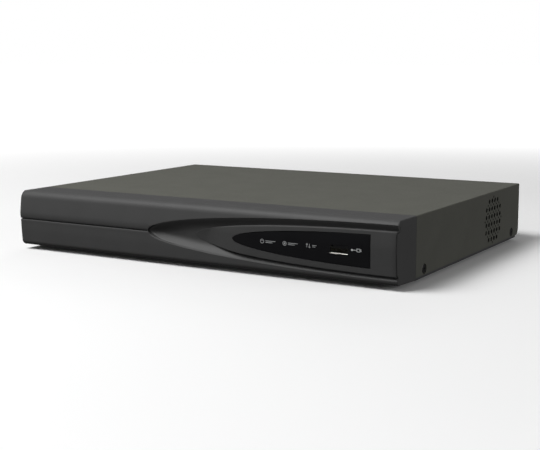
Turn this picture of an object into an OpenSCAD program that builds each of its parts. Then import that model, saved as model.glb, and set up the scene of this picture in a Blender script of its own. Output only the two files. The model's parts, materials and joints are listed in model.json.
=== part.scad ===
// Digital video recorder in a one-unit-high desktop case.
// +X is to the right seen from the front, the front faces -Y, and +Z is up.
// The origin is on the surface it stands on, in the middle of its width and depth.

/* [Case] */
// Width across the side panels
body_w = 315; // [310:1:340]
// Depth from the bulge of the bezel to the rear panel
body_d = 234; // [232:1:250]
// Height of the case without its feet
body_h = 43; // [43:0.5:48]
// Depth of the plastic bezel
bezel_d = 30; // [28:1:32]
// How far the video jacks stand out behind the rear panel
port_out = 11; // [11:0.5:13]

/* [Sheet metal] */
// Thickness of the top cover's sheet
cover_t = 0.8; // [0.8:0.1:1]
// Thickness of the base chassis' sheet
chassis_t = 1; // [1:0.1:1.2]
// Radius of each large vent hole
vent_r = 1.8; // [1.2:0.1:1.9]
// Radius of each small vent hole, between four large ones
vent_small_r = 0.9; // [0.6:0.1:1.2]
// Distance between the vent's rows
vent_pitch = 5.8; // [5.4:0.1:6]

/* [Bezel] */
// How far the front face leans back from its bulge to its top edge
lean_top = 2.4; // [1:0.1:4]
// How far the front face leans back from its bulge to its bottom edge
lean_bottom = 1.6; // [1:0.1:6]
// Depth of the recess that the display insert sits in
recess_d = 4; // [2.5:0.1:4]
// Thickness of the bezel's walls
wall_t = 2; // [1.6:0.1:2.4]

/* [Feet] */
// Height of the rubber feet
foot_h = 2; // [2:0.5:6]
// Radius of the rubber feet
foot_r = 8; // [6:0.5:10]

/* [Hidden] */
half_w = body_w / 2;
y_front = -(body_d + port_out) / 2;
y_seam = y_front + bezel_d;
y_rear = y_front + body_d;
z_base = foot_h;
z_top = foot_h + body_h;
z_floor = z_base + chassis_t;
z_bulge = z_base + 22;
gap = 0.2;
round_fn = 48;

// Rear panel
panel_in = y_rear - chassis_t;
rear_screw_x = [-145, 0, 148.5];
rear_screw_z = z_top - 5.5;

// Side panels
cover_low = z_base + 2;
cover_in = half_w - cover_t;
flange_out = half_w - 2.1;
side_screw_y = [y_seam + 14, y_rear - 16.5];
side_screw_z = z_base + 5.9;
dimple_r = 3.5;
corner_r = 5;
left_vent_rows = 4;
left_vent_columns = 17;

// Fan behind the vent in the right side panel
fan_y = y_rear - 59.3;
fan_z = z_base + 21.5;
fan_size = 40;
fan_depth = 10;
fan_out = flange_out - chassis_t;
fan_in = fan_out - fan_depth;
fan_screw_pitch = 32;
vent_radius = 17.6;
left_vent_y = fan_y - 60;
left_vent_z = fan_z + 9;

// Main board
board_z = z_floor + 3;
board_t = 1.6;
board_top = board_z + board_t;
board_rear = y_rear - 3;
board_holes = [[-140, board_rear - 26], [-38, board_rear - 26], [60, board_rear - 30],
               [-36, -24], [52, -24], [136, -24], [136, board_rear - 26]];
row_low = board_top + 8.2;
row_high = row_low + 16.6;
video_x = [134, 116, 98, 80];
audio_x = 61;
hdmi_x = 41;
vga_x = 12;
lan_x = -18;
usb_x = -38;
terminal_x = -63;
dc_x = -92;
rocker_x = -116;
ground_x = -138;
port_z = board_top + 6.5;
terminal_pitch = 3.81;
terminal_ways = 6;
terminal_w = terminal_pitch * terminal_ways;

// Power rocker
rocker_y = y_rear - 2.5;
rocker_z = z_base + 20;
rocker_tilt = 11.3;
rocker_flange = 1.8;

// Hard drive, in the 3.5 inch size
drive_w = 101.6;
drive_l = 147;
drive_x = -99.2;
drive_y0 = y_seam + 8.5;
drive_y1 = drive_y0 + drive_l;
drive_z = z_floor + 2;
drive_h = 26.1;
lid_t = 1;
cavity_z = drive_z + 4.5;
spindle_y = drive_y0 + 52;
pivot_x = drive_x + 19.2;
pivot_y = spindle_y + 64;
park_angle = 209.8;
arm_l = 50;
drive_screw_x = 95.25;
drive_screw_y = [drive_y1 - 41.28, drive_y1 - 85.73];
sata_z = drive_z + 4.8;

// Eye-shaped recess, display insert and window, each half an ellipse that
// ends at the right-hand edge of the bezel
eye = [193, 17.65];
eye_z = z_base + 22.85;
insert = [155, 14.45];
insert_z = z_base + 21.75;
insert_back = 0.2;
insert_end = half_w - 1.6;
window = [122, 11.1];
window_z = z_base + 22.4;
window_back = 0.5;
window_end = half_w - 18.5;
ellipse_steps = 36;
usb_mid = [116.9, z_base + 21.95];
usb_slot = [13.6, 6];
guide_x = [63.7, 80.8, 96.5];
guide_z = z_base + 22.4;
front_board_y = y_front + 18;
front_board_t = 1.6;
post_x = [54, 130];
post_z = z_base + 29;
hook_x = [-130, -60, 60, 130];

// ---------------------------------------------------------------- helpers

module block(x, y, z) {
    translate([x[0], y[0], z[0]])
        cube([x[1] - x[0], y[1] - y[0], z[1] - z[0]]);
}

module rod_x(x, y, z, r) {
    translate([x[0], y, z]) rotate([0, 90, 0]) cylinder(h = x[1] - x[0], r = r, $fn = round_fn);
}

module rod_y(x, y, z, r) {
    translate([x, y[1], z]) rotate([90, 0, 0]) cylinder(h = y[1] - y[0], r = r, $fn = round_fn);
}

module rod_z(x, y, z, r) {
    translate([x, y, z[0]]) cylinder(h = z[1] - z[0], r = r, $fn = round_fn);
}

function around(mid, size) = [mid - size / 2, mid + size / 2];

// A pan head screw that points along -Z, with its seat at z = 0 and a cross recess
module pan_screw(head_r, head_h, shank_r, shank_l) {
    difference() {
        union() {
            cylinder(h = head_h * 0.55, r = head_r, $fn = round_fn);
            translate([0, 0, head_h * 0.55])
                cylinder(h = head_h * 0.45, r1 = head_r, r2 = head_r * 0.72, $fn = round_fn);
        }
        for (a = [0, 90])
            rotate([0, 0, a])
                translate([-head_r * 0.55, -head_r * 0.1, head_h * 0.4])
                    cube([head_r * 1.1, head_r * 0.2, head_h]);
    }
    translate([0, 0, -shank_l]) cylinder(h = shank_l, r = shank_r, $fn = round_fn);
}

// The outline of a flat strip of thickness t that follows a path of points
function strip_normal(p, i) =
    let (a = p[max(i - 1, 0)], b = p[min(i + 1, len(p) - 1)], d = b - a)
    [-d[1], d[0]] / norm(d);
function strip(p, t) = concat(
    [for (i = [0:len(p) - 1]) p[i] + strip_normal(p, i) * t / 2],
    [for (i = [len(p) - 1:-1:0]) p[i] - strip_normal(p, i) * t / 2]);

// Extrudes a (Y, Z) outline along X
module along_x(x) {
    translate([x[0], 0, 0]) rotate([90, 0, 90]) linear_extrude(x[1] - x[0]) children();
}

// Extrudes an (X, Z) outline along Y
module along_y(y) {
    translate([0, y[1], 0]) rotate([90, 0, 0]) linear_extrude(y[1] - y[0]) children();
}

// ---------------------------------------------------------------- case

// Vent: a square grid of large holes and one of small holes, half a pitch apart, within a circle
module vent_holes(x, y, z, radius) {
    for (i = [-6:6])
        for (j = [-6:6])
            if ((i + j) % 2 == 0 && norm([i, j]) * vent_pitch / 2 <= radius)
                rod_x(x, y + i * vent_pitch / 2, z + j * vent_pitch / 2, i % 2 == 0 ? vent_small_r : vent_r);
}

module cover_side() {
    x = [cover_in, half_w];
    block(x, [y_seam + gap, y_rear], [cover_low + corner_r, z_top]);
    block(x, [y_seam + gap, y_rear - corner_r], [cover_low, z_top]);
    rod_x(x, y_rear - corner_r, cover_low + corner_r, corner_r);
    for (y = side_screw_y) rod_x([flange_out + 0.3, half_w], y, side_screw_z, dimple_r + cover_t);
}

module top_cover() {
    color([0.33, 0.33, 0.31])
        difference() {
            union() {
                block([-half_w, half_w], [y_seam + gap, y_rear], [z_top - cover_t, z_top]);
                cover_side();
                mirror([1, 0, 0]) cover_side();
                for (x = rear_screw_x)
                    block(around(x, 12), [panel_in - 0.3 - cover_t, panel_in - 0.3], [z_top - 9, z_top]);
            }
            for (s = [-1, 1])
                for (y = side_screw_y)
                    translate([s * half_w, y, side_screw_z]) rotate([0, s * 90, 0]) {
                        translate([0, 0, -1]) cylinder(h = 2, r = dimple_r, $fn = round_fn);
                        translate([0, 0, -4]) cylinder(h = 4, r = 1.7, $fn = round_fn);
                    }
            block([-half_w - 1, half_w + 1], [y_seam, y_rear + 1], [z_base, cover_low]);
            vent_holes([cover_in - 1, half_w + 1], fan_y, fan_z, vent_radius);
            for (i = [0:left_vent_columns - 1])
                for (j = [0:left_vent_rows - 1])
                    rod_x([-half_w - 1, -cover_in + 1], left_vent_y + (i + (j % 2) / 2) * vent_pitch,
                          left_vent_z - j * vent_pitch, vent_r);
            for (x = rear_screw_x)
                rod_y(x, [panel_in - 3, panel_in], rear_screw_z, 1.5);
        }
}

// Points along the bend between the tray's floor and its rear wall
function bend(r, from, to, step) =
    [for (a = [from:step:to]) [y_rear - corner_r + r * cos(a), z_base + corner_r + r * sin(a)]];

// Floor and rear wall in section
function tray_outline() = concat(
    [[y_seam + gap, z_base]], bend(corner_r, 270, 360, 15),
    [[y_rear, z_top - cover_t - 0.2], [panel_in, z_top - cover_t - 0.2]],
    bend(corner_r - chassis_t, 360, 270, -15), [[y_seam + gap, z_floor]]);

// Side of the tray: a rounded hem along its bottom edge and a flange inside the cover
module tray_side() {
    hem_x = half_w - 0.3;
    along_y([y_seam + gap, y_rear - corner_r - 1])
        polygon(concat(
            [[flange_out - chassis_t, z_floor], [flange_out - chassis_t, z_base]],
            [for (a = [270:15:360]) [hem_x - 1 + cos(a), z_base + 1 + sin(a)]],
            [[hem_x, cover_low - 0.1], [hem_x - 0.9, cover_low - 0.1], [hem_x - 0.9, z_floor]]));
    block([flange_out - chassis_t, flange_out], [y_seam + 4, panel_in + 0.2], [z_floor - 0.2, z_base + 12]);
}

module rear_cutouts() {
    y = [panel_in - 1, y_rear + 1];
    for (x = video_x) for (z = [row_low, row_high]) rod_y(x, y, z, 6.6);
    for (z = [row_low, row_high]) rod_y(audio_x, y, z, 4.6);
    block(around(hdmi_x, 15.8), y, around(port_z - 3.4, 6.6));
    block(around(vga_x, 32), y, around(port_z, 13));
    block(around(lan_x, 16.6), y, [board_top - 0.2, board_top + 14]);
    block(around(usb_x, 14), y, around(port_z - 3.5, 6.6));
    block(around(terminal_x, terminal_w + 2.6), y, [board_top - 0.2, board_top + 9.2]);
    block(around(dc_x, 9.6), y, [board_top - 0.2, board_top + 11.2]);
    block(around(rocker_x, 19.6), y, around(rocker_z, 13.4));
    rod_y(ground_x, y, board_top + 8, 1.5);
    for (x = rear_screw_x) rod_y(x, y, rear_screw_z, 1.7);
}

module base_chassis() {
    color([0.2, 0.21, 0.22])
        difference() {
            union() {
                along_x([-flange_out, flange_out]) polygon(tray_outline());
                tray_side();
                mirror([1, 0, 0]) tray_side();
                block([-155, 155], [y_seam + gap, y_seam + gap + chassis_t], [z_floor - 0.5, z_top - 1.4]);
                block([-cover_in + 0.3, cover_in - 0.3], [panel_in, y_rear],
                      [z_base + corner_r, z_top - cover_t - 0.2]);
                block([fan_out, flange_out], around(fan_y, fan_size + 2), [z_floor - 0.5, z_top - 1.5]);
                for (y = side_screw_y)
                    for (s = [-1, 1])
                        translate([s * flange_out, y, side_screw_z]) rotate([0, -s * 90, 0])
                            cylinder(h = 3, r = 3, $fn = round_fn);
                for (s = [-1, 1])
                    for (y = drive_screw_y)
                        rod_z(drive_x + s * drive_screw_x / 2, y, [z_floor - 0.5, drive_z], 4);
            }
            rear_cutouts();
            for (y = side_screw_y)
                for (s = [-1, 1])
                    translate([s * (flange_out + 1), y, side_screw_z]) rotate([0, -s * 90, 0])
                        cylinder(h = 6, r = 1.5, $fn = round_fn);
            for (s = [-1, 1])
                for (y = drive_screw_y)
                    rod_z(drive_x + s * drive_screw_x / 2, y, [z_base - 1, drive_z + 1], 1.9);
            rod_x([fan_out - 1, flange_out + 1], fan_y, fan_z, 18.8);
            for (a = [-1, 1])
                for (b = [-1, 1])
                    rod_x([fan_out - 1, flange_out + 1], fan_y + a * fan_screw_pitch / 2,
                          fan_z + b * fan_screw_pitch / 2, 1.7);
            for (x = hook_x)
                block(around(x, 13), [y_seam, y_seam + 3], [z_top - 9.5, z_top - 5.5]);
            block([82, 98], [y_seam, y_seam + 3], [z_floor + 4, z_floor + 14]);
            for (i = [0:9])
                for (j = [0:2])
                    rod_z(10 + i * 8, -72 + j * 8, [z_base - 1, z_floor + 1], 2);
        }
}

// Front face in section: two parabolas that meet at the bulge
function front_y(z, back = 0) =
    y_front + back + (z > z_bulge
        ? lean_top * pow((z - z_bulge) / (z_top - 0.6 - z_bulge), 2)
        : lean_bottom * pow((z_bulge - z) / (z_bulge - z_base - 1.5), 2));

function bezel_outline() =
    let (rt = 3.2, rb = 2.5, zt = z_top - 0.6 - rt, zb = z_base + 1.5 + rb)
    concat(
        [[y_seam, z_base + 0.3], [y_seam, z_top]],
        [for (a = [90:15:180]) [front_y(zt) + rt + rt * cos(a), zt + rt * sin(a)]],
        [for (i = [1:15]) let (z = zt + (zb - zt) * i / 16) [front_y(z), z]],
        [for (a = [180:15:270]) [front_y(zb) + rb + rb * cos(a), zb + rb * sin(a)]]);

// The band between two surfaces that follow the front face
function face_band(back_a, back_b, z0, z1, n = 16) = concat(
    [for (i = [0:n]) let (z = z0 + (z1 - z0) * i / n) [front_y(z, back_a), z]],
    [for (i = [n:-1:0]) let (z = z0 + (z1 - z0) * i / n) [front_y(z, back_b), z]]);

function half_ellipse(size, z_mid, x_end) =
    let (a0 = acos((x_end - half_w) / size[0]))
    [for (i = [0:ellipse_steps]) let (a = a0 + (360 - 2 * a0) * i / ellipse_steps)
        [half_w + size[0] * cos(a), z_mid + size[1] * sin(a)]];

module half_eye(size, z_mid, x_end) {
    along_y([y_front - 5, y_seam - 1]) polygon(half_ellipse(size, z_mid, x_end));
}

// The recess runs out through the end cap above and below the insert's outline
module scoop_cut() {
    intersection() {
        difference() {
            half_eye(eye, eye_z, half_w + 1);
            intersection() {
                half_eye(insert, insert_z, half_w + 2);
                block([insert_end + gap, half_w + 3], [y_front - 6, y_seam], [z_base, z_top]);
            }
        }
        along_x([-half_w, half_w + 3]) polygon(face_band(-6, recess_d, z_base + 1, z_top - 1));
    }
}

module usb_slot_cut(grow, y) {
    block(around(usb_mid[0], usb_slot[0] + grow), y, around(usb_mid[1], usb_slot[1] + grow));
}

module front_bezel() {
    hook_z = [z_top - 8.7, z_top - 6.5];
    color([0.25, 0.25, 0.25])
        difference() {
            union() {
                difference() {
                    along_x([-half_w, half_w]) polygon(bezel_outline());
                    along_x([-half_w + wall_t, half_w - wall_t])
                        polygon(concat(
                            [[y_seam + 1, z_base + 0.3 + wall_t], [y_seam + 1, z_top - wall_t]],
                            [for (i = [0:12]) let (z = z_top - 3 - i * (body_h - 7) / 12)
                                [front_y(z, recess_d + wall_t), z]]));
                }
                for (x = hook_x) {
                    block(around(x, 10), [y_seam - 8, y_seam + 4], hook_z);
                    block(around(x, 10), [y_seam - 8, y_seam - 6], [hook_z[0], z_top - 1]);
                }
                for (x = post_x) rod_y(x, [y_front + 4, front_board_y], post_z, 3);
            }
            scoop_cut();
            for (x = guide_x) block(around(x, 4), [y_front, y_front + 8], around(guide_z, 4));
            usb_slot_cut(0.6, [y_front, y_front + 8]);
            for (x = post_x) rod_y(x, [front_board_y - 8, front_board_y + 1], post_z, 1.2);
        }
}

module display_insert() {
    color([0.22, 0.22, 0.22])
        difference() {
            intersection() {
                half_eye(insert, insert_z, half_w);
                along_x([0, insert_end])
                    polygon(face_band(insert_back, recess_d, z_base + 1, z_top - 1));
            }
            half_eye(window + [0.3, 0.2], window_z, window_end + 0.2);
        }
}

module indicator_window() {
    color([0.05, 0.05, 0.055])
        difference() {
            intersection() {
                half_eye(window, window_z, window_end);
                along_x([0, half_w])
                    polygon(face_band(window_back, recess_d, z_base + 1, z_top - 1));
            }
            usb_slot_cut(0, [y_front, y_front + 8]);
        }
}

module light_guide() {
    y = [y_front + recess_d + gap, front_board_y - 2];
    color([0.85, 0.9, 0.9]) {
        for (x = guide_x) block(around(x, 3), y, around(guide_z, 1.6));
        block([guide_x[0] - 1.5, guide_x[2] + 1.5], [y[1] - 3, y[1] - 1], [guide_z + 0.8, guide_z + 3]);
    }
}

module rubber_feet() {
    color([0.06, 0.06, 0.06])
        for (x = [-1, 1])
            for (y = [y_seam + 22, y_rear - 25])
                translate([x * (half_w - 28), y, 0]) {
                    cylinder(h = foot_h * 0.5, r1 = foot_r - 0.8, r2 = foot_r, $fn = round_fn);
                    translate([0, 0, foot_h * 0.5]) cylinder(h = foot_h * 0.5, r = foot_r, $fn = round_fn);
                }
}

module cover_side_screws() {
    color([0.12, 0.12, 0.12])
        for (s = [-1, 1])
            for (y = side_screw_y)
                translate([s * (half_w - 1), y, side_screw_z]) rotate([0, s * 90, 0])
                    pan_screw(3, 0.9, 1.45, 6);
}

module cover_rear_screws() {
    color([0.12, 0.12, 0.12])
        for (x = rear_screw_x)
            translate([x, y_rear, rear_screw_z]) rotate([-90, 0, 0])
                pan_screw(2.8, 1.7, 1.45, 4.5);
}

// ---------------------------------------------------------------- main board

module main_board() {
    color([0.05, 0.25, 0.14])
        difference() {
            union() {
                block([-148, 142], [board_rear - 32, board_rear], [board_z, board_top]);
                block([-42, 142], [-30, board_rear], [board_z, board_top]);
            }
            for (p = board_holes) rod_z(p[0], p[1], [board_z - 1, board_top + 1], 1.6);
        }
}

module board_standoffs() {
    color([0.75, 0.62, 0.3])
        for (p = board_holes)
            difference() {
                rod_z(p[0], p[1], [z_floor, board_z], 2.8);
                rod_z(p[0], p[1], [z_floor + 0.3, board_z + 1], 1.5);
            }
}

module board_screws() {
    color([0.7, 0.7, 0.72])
        for (p = board_holes) translate([p[0], p[1], board_top]) pan_screw(2.8, 1.8, 1.45, board_t + 2.5);
}

module chip(x, y, w, l, h) {
    block(around(x, w), around(y, l), [board_top, board_top + h]);
}

module processor() {
    color([0.08, 0.08, 0.09]) {
        chip(30, 20, 23, 23, 1.6);
        block(around(30, 20), around(20, 20), [board_top + 1.6, board_top + 2]);
    }
}

module heat_sink() {
    z = board_top + 2;
    color([0.1, 0.1, 0.1]) {
        block(around(30, 40), around(20, 40), [z, z + 2]);
        for (i = [0:10])
            block(around(11.2 + i * 3.76, 1.2), around(20, 40), [z + 2, z + 12]);
    }
}

module small_chips() {
    color([0.07, 0.07, 0.08]) {
        for (i = [0:3]) chip(-6 + i * 18, -8, 9, 13, 1);
        for (i = [0:3]) chip(video_x[i] - 2, board_rear - 34, 10, 10, 1);
        chip(70, 20, 18, 14, 1.2);
        chip(-20, 30, 7, 7, 1);
        chip(-20, 48, 6, 8, 1);
    }
}

module capacitors() {
    spots = [[-112, 84], [-122, 84], [-132, 84], [90, 14], [101, 14], [112, 14], [-30, 8], [-34, 66]];
    color([0.1, 0.12, 0.2])
        for (p = spots) rod_z(p[0], p[1], [board_top, board_top + 8], 3.5);
}

module inductors() {
    color([0.2, 0.2, 0.2])
        for (p = [[96, -10], [108, -10], [120, -10], [-132, 95]])
            chip(p[0], p[1], 7, 7, 4);
}

module buzzer() {
    color([0.08, 0.08, 0.08])
        difference() {
            rod_z(120, 28, [board_top, board_top + 7], 6);
            rod_z(120, 28, [board_top + 5, board_top + 8], 1.2);
        }
}

module cell_holder() {
    color([0.12, 0.12, 0.12])
        difference() {
            chip(92, 38, 23, 23, 4.6);
            rod_z(92, 38, [board_top + 1, board_top + 6], 10.3);
        }
}

module coin_cell() {
    color([0.75, 0.75, 0.76]) {
        rod_z(92, 38, [board_top + 1, board_top + 1.6], 8.6);
        rod_z(92, 38, [board_top + 1.6, board_top + 4.2], 10);
    }
}

module network_transformer() {
    color([0.08, 0.08, 0.08]) chip(lan_x, board_rear - 26, 13, 10, 5);
}

// ---------------------------------------------------------------- rear sockets

module video_jack_blocks() {
    color([0.1, 0.1, 0.1])
        for (x = video_x)
            block(around(x, 15), [panel_in - 18, panel_in - 0.5], [board_top, row_high + 7.5]);
}

module video_jack_barrels() {
    y0 = panel_in - 0.5;
    color([0.75, 0.74, 0.7])
        for (x = video_x)
            for (z = [row_low, row_high])
                difference() {
                    union() {
                        rod_y(x, [y0, y_rear + 2.2], z, 6.3);
                        rod_y(x, [y0, y_rear + port_out], z, 4.83);
                        for (s = [-1, 1])
                            rod_x(around(x + s * 4.85, 1.7), y_rear + 7.6, z, 0.95);
                    }
                    rod_y(x, [y_rear + 1, y_rear + port_out + 1], z, 4.1);
                }
}

module video_jack_insulators() {
    color([0.9, 0.9, 0.88])
        for (x = video_x)
            for (z = [row_low, row_high])
                difference() {
                    rod_y(x, [y_rear + 1, y_rear + port_out - 2.5], z, 3.3);
                    rod_y(x, [y_rear, y_rear + port_out], z, 1.1);
                }
}

module video_jack_contacts() {
    color([0.85, 0.7, 0.3])
        for (x = video_x)
            for (z = [row_low, row_high])
                difference() {
                    rod_y(x, [y_rear + 1, y_rear + port_out - 3], z, 1.05);
                    rod_y(x, [y_rear + 4, y_rear + port_out], z, 0.5);
                }
}

module audio_jack_block() {
    color([0.1, 0.1, 0.1])
        block(around(audio_x, 11), [panel_in - 15, panel_in - 0.5], [board_top, row_high + 6]);
}

module audio_jack_shells() {
    y0 = panel_in - 0.5;
    color([0.8, 0.8, 0.78])
        for (z = [row_low, row_high])
            difference() {
                union() {
                    rod_y(audio_x, [y0, y_rear + 8.6], z, 4.15);
                    rod_y(audio_x, [y0, y_rear + 0.2], z, 4.4);
                }
                rod_y(audio_x, [y_rear, y_rear + 9], z, 3.6);
            }
}

module audio_jack_inserts() {
    color([0.85, 0.85, 0.82])
        for (z = [row_low, row_high])
            difference() {
                rod_y(audio_x, [y_rear, y_rear + 8.2], z, 3.6);
                rod_y(audio_x, [y_rear + 1, y_rear + 9], z, 1.65);
            }
}

// Thin metal shell of a flat socket, open at the end y_mouth
module flat_shell(x, z, w, h, wall, y_back, y_mouth) {
    y0 = min(y_back, y_mouth);
    y1 = max(y_back, y_mouth);
    s = sign(y_mouth - y_back);
    difference() {
        block(around(x, w), [y0, y1], around(z, h));
        block(around(x, w - 2 * wall),
              s > 0 ? [y0 + wall, y1 + 1] : [y0 - 1, y1 - wall],
              around(z, h - 2 * wall));
    }
}

module hdmi_shell() {
    z = port_z - 3.4;
    color([0.72, 0.72, 0.7]) {
        difference() {
            flat_shell(hdmi_x, z, 15.2, 6.1, 0.45, panel_in - 11, y_rear + 0.8);
            for (s = [-1, 1])
                translate([hdmi_x + s * 7.7, 0, z - 3.2]) rotate([0, 45, 0])
                    block([-1.2, 1.2], [panel_in - 10, y_rear + 2], [-1.2, 1.2]);
        }
        for (s = [-1, 1])
            block(around(hdmi_x + s * 5.5, 1.4), [panel_in - 9, panel_in - 4], [board_top, z - 2.95]);
    }
}

module hdmi_tongue() {
    z = port_z - 3.4;
    color([0.08, 0.08, 0.08]) block(around(hdmi_x, 11.2), [panel_in - 10.5, y_rear], around(z + 0.2, 1.6));
}

// The D-shaped outline of a VGA socket, w wide at its top
module d_outline(w, h) {
    polygon([[-w / 2, h / 2], [w / 2, h / 2], [w / 2 - h * 0.18, -h / 2], [-w / 2 + h * 0.18, -h / 2]]);
}

module vga_shell() {
    color([0.72, 0.72, 0.7])
        difference() {
            union() {
                block(around(vga_x, 31), [panel_in - 2.4, panel_in - 0.4], around(port_z, 12.4));
                translate([vga_x, 0, port_z]) along_y([panel_in - 2, y_rear + 4.5]) d_outline(17.2, 8.8);
            }
            translate([vga_x, 0, port_z]) along_y([panel_in - 3, y_rear + 5]) d_outline(16.4, 8);
            for (s = [-1, 1]) rod_y(vga_x + s * 12.5, [panel_in - 3, panel_in], port_z, 1.7);
        }
}

module vga_insert() {
    color([0.1, 0.2, 0.55])
        difference() {
            union() {
                translate([vga_x, 0, port_z]) along_y([panel_in - 2.4, y_rear + 3.9]) d_outline(16.3, 7.9);
                block(around(vga_x, 31), [panel_in - 12, panel_in - 2.4], [board_top, port_z + 6.2]);
            }
            for (r = [-1:1])
                for (i = [-2:2])
                    rod_y(vga_x + i * 2.29 + r * 0.6, [y_rear, y_rear + 4], port_z + r * 1.98, 0.55);
            for (s = [-1, 1]) rod_y(vga_x + s * 12.5, [panel_in - 9, panel_in], port_z, 1.7);
        }
}

module vga_jackscrews() {
    color([0.75, 0.75, 0.73])
        for (s = [-1, 1])
            difference() {
                union() {
                    translate([vga_x + s * 12.5, y_rear + 4.6, port_z]) rotate([90, 0, 0])
                        cylinder(h = 4.6, r = 2.9, $fn = 6);
                    rod_y(vga_x + s * 12.5, [panel_in - 7, y_rear + 1], port_z, 1.5);
                }
                rod_y(vga_x + s * 12.5, [y_rear - 1, y_rear + 6], port_z, 1.25);
            }
}

module lan_socket() {
    color([0.72, 0.72, 0.7])
        difference() {
            block(around(lan_x, 16), [panel_in - 18, y_rear + 0.6], [board_top, board_top + 13.4]);
            block(around(lan_x, 12), [panel_in - 11, y_rear + 2], [board_top + 1.6, board_top + 9.6]);
            block(around(lan_x, 6), [panel_in - 8, y_rear + 2], [board_top + 9, board_top + 11.8]);
            for (s = [-1, 1])
                block(around(lan_x + s * 5.6, 2.6),
                      [y_rear - 0.4, y_rear + 2], [board_top + 10.6, board_top + 12.6]);
        }
}

module lan_contacts() {
    color([0.85, 0.7, 0.3])
        for (i = [0:7])
            block(around(lan_x + (i - 3.5) * 1.02, 0.4),
                  [panel_in - 10.5, y_rear - 3], [board_top + 1.6, board_top + 2.2]);
}

module lan_lights() {
    color([0.3, 0.7, 0.3])
        for (s = [-1, 1])
            block(around(lan_x + s * 5.6, 2.4),
                  [y_rear - 0.4, y_rear + 0.6], [board_top + 10.7, board_top + 12.5]);
}

module rear_usb_shell() {
    color([0.72, 0.72, 0.7])
        flat_shell(usb_x, port_z - 3.5, 13.2, 5.9, 0.35, panel_in - 13, y_rear + 0.6);
}

module usb_tongue(x, z, y_back, y_end) {
    block(around(x, 11.1), [min(y_back, y_end), max(y_back, y_end)], [z + 0.5, z + 2.3]);
}

module rear_usb_tongue() {
    color([0.92, 0.92, 0.9]) usb_tongue(usb_x, port_z - 3.5, panel_in - 12.6, y_rear - 0.6);
}

module terminal_header() {
    z0 = board_top;
    color([0.1, 0.1, 0.1])
        difference() {
            block(around(terminal_x, terminal_w + 2.2), [panel_in - 11, y_rear + 0.4], [z0, z0 + 9]);
            block(around(terminal_x, terminal_w + 0.2), [panel_in - 8, y_rear + 1], [z0 + 1, z0 + 8]);
        }
    color([0.75, 0.75, 0.7])
        for (i = [0:terminal_ways - 1])
            block(around(terminal_x + (i - (terminal_ways - 1) / 2) * terminal_pitch, 0.9),
                  [panel_in - 8, panel_in - 1], [z0 + 4, z0 + 4.9]);
}

module terminal_plug() {
    z0 = board_top;
    color([0.1, 0.45, 0.2])
        difference() {
            block(around(terminal_x, terminal_w - 0.4),
                  [panel_in - 7.6, y_rear + 7.5], [z0 + 1.3, z0 + 7.7]);
            for (i = [0:terminal_ways - 1]) {
                x = terminal_x + (i - (terminal_ways - 1) / 2) * terminal_pitch;
                block(around(x, 1.6), [panel_in - 8, panel_in], [z0 + 3.6, z0 + 5.3]);
                block(around(x, 2.6), [y_rear + 3, y_rear + 8], [z0 + 2, z0 + 4.4]);
                rod_y(x, [y_rear + 6.3, y_rear + 8], z0 + 6.1, 1.2);
            }
        }
}

module dc_jack() {
    z = board_top + 5.4;
    color([0.08, 0.08, 0.08])
        difference() {
            union() {
                block(around(dc_x, 9), [panel_in - 12, y_rear], [board_top, board_top + 10.8]);
                rod_y(dc_x, [y_rear, y_rear + 1.2], z, 4.4);
            }
            rod_y(dc_x, [panel_in - 9, y_rear + 2], z, 3.15);
        }
}

module dc_jack_pin() {
    color([0.8, 0.8, 0.78]) rod_y(dc_x, [panel_in - 9, y_rear - 0.4], board_top + 5.4, 1.25);
}

module power_switch_body() {
    color([0.07, 0.07, 0.07])
        difference() {
            union() {
                block(around(rocker_x, 21), [y_rear, y_rear + rocker_flange], around(rocker_z, 15));
                block(around(rocker_x, 19.2), [panel_in - 12, y_rear], around(rocker_z, 13));
                for (x = [-5, 0, 5])
                    block(around(rocker_x + x, 0.8), [panel_in - 19, panel_in - 11], around(rocker_z, 4.8));
            }
            block(around(rocker_x, 17.2), [rocker_y - 5, y_rear + 3], around(rocker_z, 10.8));
            rod_z(rocker_x, rocker_y, [rocker_z - 7, rocker_z + 7], 1.05);
        }
}

module power_rocker() {
    color([0.09, 0.09, 0.09])
        translate([rocker_x, rocker_y, rocker_z]) rotate([0, 0, rocker_tilt]) {
            translate([0, 0, -5.1]) linear_extrude(10.2)
                polygon([[-7.4, 1], [-4, -3], [4, -3], [7.4, 1],
                         [7.4, 5.3], [4, 4.35], [0, 4], [-4, 4.35], [-7.4, 5.3]]);
            translate([0, 0, -6.3]) cylinder(h = 12.6, r = 1, $fn = round_fn);
        }
}

module ground_screw() {
    color([0.75, 0.75, 0.73])
        translate([ground_x, y_rear, board_top + 8]) rotate([-90, 0, 0]) {
            translate([0, 0, 0.8]) pan_screw(3.4, 2.2, 1.45, 5.5);
            difference() {
                cylinder(h = 0.8, r = 4.6, $fn = round_fn);
                translate([0, 0, -1]) cylinder(h = 3, r = 1.55, $fn = round_fn);
            }
        }
}

// ---------------------------------------------------------------- fan

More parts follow.
